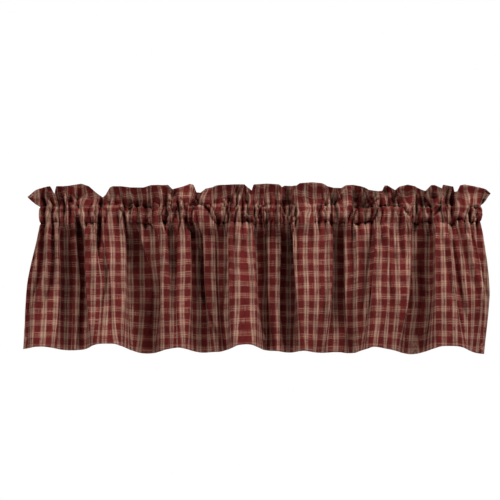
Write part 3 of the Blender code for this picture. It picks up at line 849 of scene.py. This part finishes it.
def plaid_material():
    """Plain-woven plaid cotton: warp and weft stripes crossing thread by thread."""
    material = bpy.data.materials.new("plaid_cotton")
    material.use_nodes = True
    tree = material.node_tree
    shader = tree.nodes["Principled BSDF"]
    shader.inputs["Roughness"].default_value = 0.92
    shader.inputs["Specular IOR Level"].default_value = 0.15
    flat = tree.nodes.new("ShaderNodeUVMap")
    flat.uv_map = "flat_cloth"
    split = tree.nodes.new("ShaderNodeSeparateXYZ")
    tree.links.new(flat.outputs[0], split.inputs[0])
    u, v = split.outputs[0], split.outputs[1]
    warp = stripes(tree, computed(tree, "FRACT", computed(tree, "DIVIDE", u, WARP_REPEAT)),
                   WARP_STRIPES)
    weft = stripes(tree, computed(tree, "FRACT", computed(tree, "DIVIDE", v, WEFT_REPEAT)),
                   WEFT_STRIPES)
    across = computed(tree, "SINE", computed(tree, "MULTIPLY", u, np.pi / YARN))
    along = computed(tree, "SINE", computed(tree, "MULTIPLY", v, np.pi / YARN))
    weave = computed(tree, "MULTIPLY", across, along)
    warp_slubs = cloth_noise(tree, u, v, SLUB_WIDTH, WARP_SLUB, 2)
    weft_slubs = cloth_noise(tree, u, v, WEFT_SLUB, SLUB_WIDTH, 2)
    share = computed(tree, "MULTIPLY_ADD", weave, WEAVE_SHARE, WEFT_SHARE)
    slubs = computed(tree, "SUBTRACT", weft_slubs, warp_slubs)
    share = computed(tree, "MULTIPLY_ADD", slubs, SLUB_SHARE, share)
    mix = tree.nodes.new("ShaderNodeMix")
    mix.data_type = "RGBA"
    tree.links.new(share, mix.inputs[0])
    tree.links.new(warp, mix.inputs[6])
    tree.links.new(weft, mix.inputs[7])
    worn = computed(tree, "ADD", computed(tree, "ADD", warp_slubs, weft_slubs),
                    cloth_noise(tree, u, v, WEAR_SIZE, WEAR_SIZE, 3))
    value = computed(tree, "MULTIPLY_ADD", worn, WEAR, LEAST_TINT)
    crossed = tree.nodes.new("ShaderNodeGamma")
    crossed.inputs["Gamma"].default_value = 2.0
    tree.links.new(mix.outputs[2], crossed.inputs["Color"])
    tint = tree.nodes.new("ShaderNodeHueSaturation")
    tree.links.new(value, tint.inputs["Value"])
    tree.links.new(crossed.outputs[0], tint.inputs["Color"])
    tree.links.new(tint.outputs[0], shader.inputs["Base Color"])
    raised = computed(tree, "MULTIPLY_ADD", weave, 0.5, computed(tree, "ADD", warp_slubs, weft_slubs))
    bump = tree.nodes.new("ShaderNodeBump")
    bump.inputs["Strength"].default_value = 0.35
    bump.inputs["Distance"].default_value = 0.0003
    tree.links.new(raised, bump.inputs["Height"])
    tree.links.new(bump.outputs[0], shader.inputs["Normal"])
    return material


PLAID = plaid_material()


def dressed(piece):
    piece.data.materials.append(PLAID)
    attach(piece, "root")
    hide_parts("valance")
    return piece


skirt_flat = np.stack([cloth_across(skirt_plan), skirt_plan[:, :, 2] - HEM - WEFT_START], axis=2)
skirt_flat += uneven(skirt_flat)
hem_runs = [share * TURN for share in TURN_SHARES]
skirt_points, skirt_flat = turned_under(skirt_points, skirt_flat, 0, hem_runs)
skirt_points, skirt_flat = with_side_hems(skirt_points, skirt_flat)
dressed(cloth_piece("valance_skirt", skirt_points, skirt_flat, len(hem_runs) - 1))


# The heading: the top of the same cloth, folded to the back and sewn down in two rows. The fold
# stands up as a ruffled header, and the cloth between the rows is the pocket for the rod.
ROD_ROOM = 0.0115
POCKET_REST = 0.006
POCKET_RIPPLE = 0.45
PUFF = 0.011
LAYER_GAP = 0.0016
CREST_LEAN = 0.022
POCKET_FULLNESS = 0.011
TUG = 0.0026
END_PUFF = 0.004
END_REACH = 0.01
BACK_PUFF = 0.004
TUG_FROM = 0.02
FRONT_ROWS = (15, 22)
BACK_ROWS = (8, 6)

# Heights of the crest along the rod in millimetres, as seen from a little below
Crest = namedtuple("Crest", "place height")
CREST = [Crest(*point) for point in (
    (-487, 37), (-471, 51), (-455, 58), (-439, 60), (-430, 43), (-426, 60), (-411, 60), (-374, 66),
    (-357, 60), (-341, 46), (-330, 37), (-321, 41), (-312, 57), (-307, 60), (-290, 60), (-267, 57),
    (-240, 57), (-224, 62), (-188, 63), (-179, 54), (-154, 61), (-141, 66), (-134, 64), (-128, 48),
    (-119, 47), (-108, 56), (-79, 62), (-41, 64), (-25, 64), (-9, 51), (-5, 64), (21, 66),
    (49, 64), (56, 59), (61, 62), (86, 61), (93, 66), (120, 68), (141, 66), (151, 61), (166, 57),
    (182, 56), (191, 62), (208, 63), (225, 60), (241, 52), (261, 49), (269, 50), (276, 62),
    (282, 62), (298, 52), (305, 59), (323, 63), (342, 59), (361, 50), (373, 62), (380, 62),
    (396, 55), (402, 64), (423, 60), (425, 49), (430, 49), (436, 62), (445, 64), (478, 58),
    (492, 54), (502, 45))]


def heading_front(x, z, plan_out, pocket_share, crest_share):
    """Distance out of the front layer: pocket, ruffled header and the faces laid over them."""
    wave, fullness, _ = gathers(x, z)
    upper = np.count_nonzero(crest_share[:, 0] == 0) - 1
    beside = np.minimum(np.abs(z - z[0]), np.abs(z - z[upper]))
    gathered = GATHER_HEIGHT * fullness * wave * pinched(x, beside) - GATHER_DEPTH
    tied = plan_out + gathered * (1 - crest_share) ** 2.2
    crown = POCKET_REST + PUFF * fullness * wave + POCKET_RIPPLE * np.maximum(plan_out, 0)
    base = tied * (1 - pocket_share) + crown * pocket_share
    smooth = np.maximum(plan_out, POCKET_FRONT) * (1 - crest_share) + plan_out * crest_share
    out = covered(x, z, base, smooth) + creased(x, z, RIDGES + LONG_RIDGES)
    return out + puckered(x, z) * (1 - crest_share) ** 1.3


def heading_surface(pocket_rows, header_rows):
    """Rows of x, out and z of the front layer, with its smooth plan, from the pocket up."""
    crest_seen = np.interp(TOP_LINE[:, 0], [c.place * MM for c in CREST],
                           [c.height * MM for c in CREST])
    crest_y = TOP_LINE[:, 1] - CREST_LEAN
    crest = (crest_seen + crest_y * np.sin(SEEN_FROM_BELOW)) / np.cos(SEEN_FROM_BELOW)
    from_left, from_right = STITCH_LINE[:, 0] - STITCH_LINE[0, 0], STITCH_LINE[-1, 0] - STITCH_LINE[:, 0]
    at_ends = np.exp(-from_right / END_REACH) - np.exp(-from_left / END_REACH)
    x, z, plan_out, pocket_share, crest_share = [], [], [], [], []
    for angle in np.linspace(-0.5, 0.5, pocket_rows) * np.pi:
        rise = 0.5 + 0.5 * np.sin(angle)
        x.append(STITCH_LINE[:, 0] + END_PUFF * np.cos(angle) * at_ends)
        z.append(STITCH * np.sin(angle) + LOW_WANDER * (1 - rise) + HIGH_WANDER * rise)
        plan_out.append(-STITCH_LINE[:, 1])
        pocket_share.append(np.full(COLUMNS, max(np.cos(angle), 0) ** 0.75))
        crest_share.append(np.zeros(COLUMNS))
    for share in np.linspace(0, 1, header_rows + 1)[1:]:
        spread = share ** 0.8
        plan = STITCH_LINE * (1 - spread) + TOP_LINE * spread - [0, CREST_LEAN * share ** 1.8]
        x.append(plan[:, 0])
        z.append(STITCH + (crest - STITCH) * share + HIGH_WANDER * (1 - share))
        plan_out.append(-plan[:, 1])
        pocket_share.append(np.zeros(COLUMNS))
        crest_share.append(np.full(COLUMNS, share))
    return [np.array(v) for v in (x, z, plan_out, pocket_share, crest_share)]


def heading_layer(pocket_rows, header_rows):
    """The front layer with its relief, level with the crest that is seen from a little below."""
    x, z, plan_out, pocket_share, crest_share = heading_surface(pocket_rows, header_rows)
    out = heading_front(x, z, plan_out, pocket_share, crest_share)
    z = z - (out - plan_out) * np.tan(SEEN_FROM_BELOW) * crest_share ** 2
    return x, z, out, plan_out, pocket_share, crest_share


def heading_rows():
    """Points from the front lower stitches over the crest to the back lower stitches."""
    x, z, out, plan_out, _, _ = heading_layer(*FRONT_ROWS)
    front = np.stack([x, -out, z], axis=2)
    front_plan = np.stack([x, -plan_out, z], axis=2)
    x, z, out, plan_out, pocket_share, crest_share = heading_layer(*BACK_ROWS)
    wave, fullness, _ = gathers(x, z)
    crown = ROD_ROOM + PUFF * fullness * (1 - wave) + POCKET_RIPPLE * np.maximum(-plan_out, 0)
    y = (LAYER_GAP - out) * (1 - pocket_share) + crown * pocket_share
    y += BACK_PUFF * np.sin(np.pi * crest_share) ** 0.7
    back = np.stack([x, y, z], axis=2)[:-1][::-1]
    back_plan = np.stack([x, -plan_out, z], axis=2)[:-1][::-1]
    return np.concatenate([front, back]), np.concatenate([front_plan, back_plan]), len(front)


def cloth_up(z):
    """Height on the flat cloth of a height on the panel, which the full pocket shortens."""
    climb = np.clip((z + STITCH) / (2 * STITCH), 0, 1)
    return z + POCKET_FULLNESS * climb ** 3.5


def tugged(flat, plan):
    """How far the stitches have pulled the cloth of the heading out of line."""
    share = np.clip((plan[:, :, 2] + STITCH) / TUG_FROM, 0, 1)
    u, v = flat[:, :, 0], flat[:, :, 1]
    lean = TUG * crumple(u, v, 0.05, 31) + 0.5 * TUG * crumple(u, v, 0.02, 32)
    rise = TUG * crumple(u, v, 0.06, 33) + 0.5 * TUG * crumple(u, v, 0.02, 34)
    return np.stack([lean * share, rise * share], axis=2)


heading_points, heading_plan, front_count = heading_rows()
height = cloth_up(heading_plan[:, :, 2])
height[front_count:] = 2 * height[front_count - 1] - height[front_count:]
heading_flat = np.stack([cloth_across(heading_plan), height - HEM - WEFT_START], axis=2)
heading_flat += uneven(heading_flat) + tugged(heading_flat, heading_plan)
heading_points, heading_flat = with_side_hems(heading_points, heading_flat)
dressed(cloth_piece("valance_heading", heading_points, heading_flat, front_count - 1))


# Stage: a pale floor, soft boxes at both sides and behind, a plain white surrounding that gives
# little light, and a long lens a little below the object.
FLOOR_SIZE = 14
FLOOR_HEIGHT = -1.2
bpy.ops.mesh.primitive_plane_add(size=FLOOR_SIZE, location=(0, 0, FLOOR_HEIGHT))
floor = bpy.context.object
floor.name = "studio_floor"
paint = bpy.data.materials.new("studio_floor")
paint.use_nodes = True
paint.node_tree.nodes["Principled BSDF"].inputs["Base Color"].default_value = (0.85, 0.85, 0.85, 1)
paint.node_tree.nodes["Principled BSDF"].inputs["Roughness"].default_value = 0.95
floor.data.materials.append(paint)

world = bpy.data.worlds.new("studio")
bpy.context.scene.world = world
world.use_nodes = True
sky = world.node_tree
background = sky.nodes["Background"]
background.inputs["Color"].default_value = (1, 1, 1, 1)
background.inputs["Strength"].default_value = 0.12
white = sky.nodes.new("ShaderNodeBackground")
white.inputs["Color"].default_value = (1, 1, 1, 1)
white.inputs["Strength"].default_value = 1.0
path = sky.nodes.new("ShaderNodeLightPath")
pick = sky.nodes.new("ShaderNodeMixShader")
sky.links.new(path.outputs["Is Camera Ray"], pick.inputs[0])
sky.links.new(background.outputs[0], pick.inputs[1])
sky.links.new(white.outputs[0], pick.inputs[2])
sky.links.new(pick.outputs[0], sky.nodes["World Output"].inputs[0])

AIM = Vector((-0.0128, 0, -0.0767))


def soft_box(name, place, size, power):
    """Square area light that faces the valance."""
    light = bpy.data.lights.new(name, "AREA")
    light.size = size
    light.energy = power
    lamp = bpy.data.objects.new(name, light)
    lamp.location = place
    lamp.rotation_euler = (AIM - Vector(place)).to_track_quat("-Z", "Y").to_euler()
    bpy.context.scene.collection.objects.link(lamp)


soft_box("left_soft_box", (-2.6, -2.6, 3.1), 1.8, 135)
soft_box("right_soft_box", (1.9, -1.75, 2.1), 1.3, 110)
soft_box("back_soft_box", (0.0, 3.0, 1.8), 1.5, 60)

DISTANCE = 4.0
HALF_VIEW = 0.535
camera = bpy.data.cameras.new("camera")
camera.sensor_width = 36
camera.lens = camera.sensor_width / 2 * DISTANCE / HALF_VIEW
eye = bpy.data.objects.new("camera", camera)
below = Vector((0, -np.cos(SEEN_FROM_BELOW), -np.sin(SEEN_FROM_BELOW)))
eye.location = AIM + DISTANCE * below
eye.rotation_euler = (-below).to_track_quat("-Z", "Y").to_euler()
bpy.context.scene.collection.objects.link(eye)
bpy.context.scene.camera = eye
bpy.context.scene.view_settings.view_transform = "Standard"
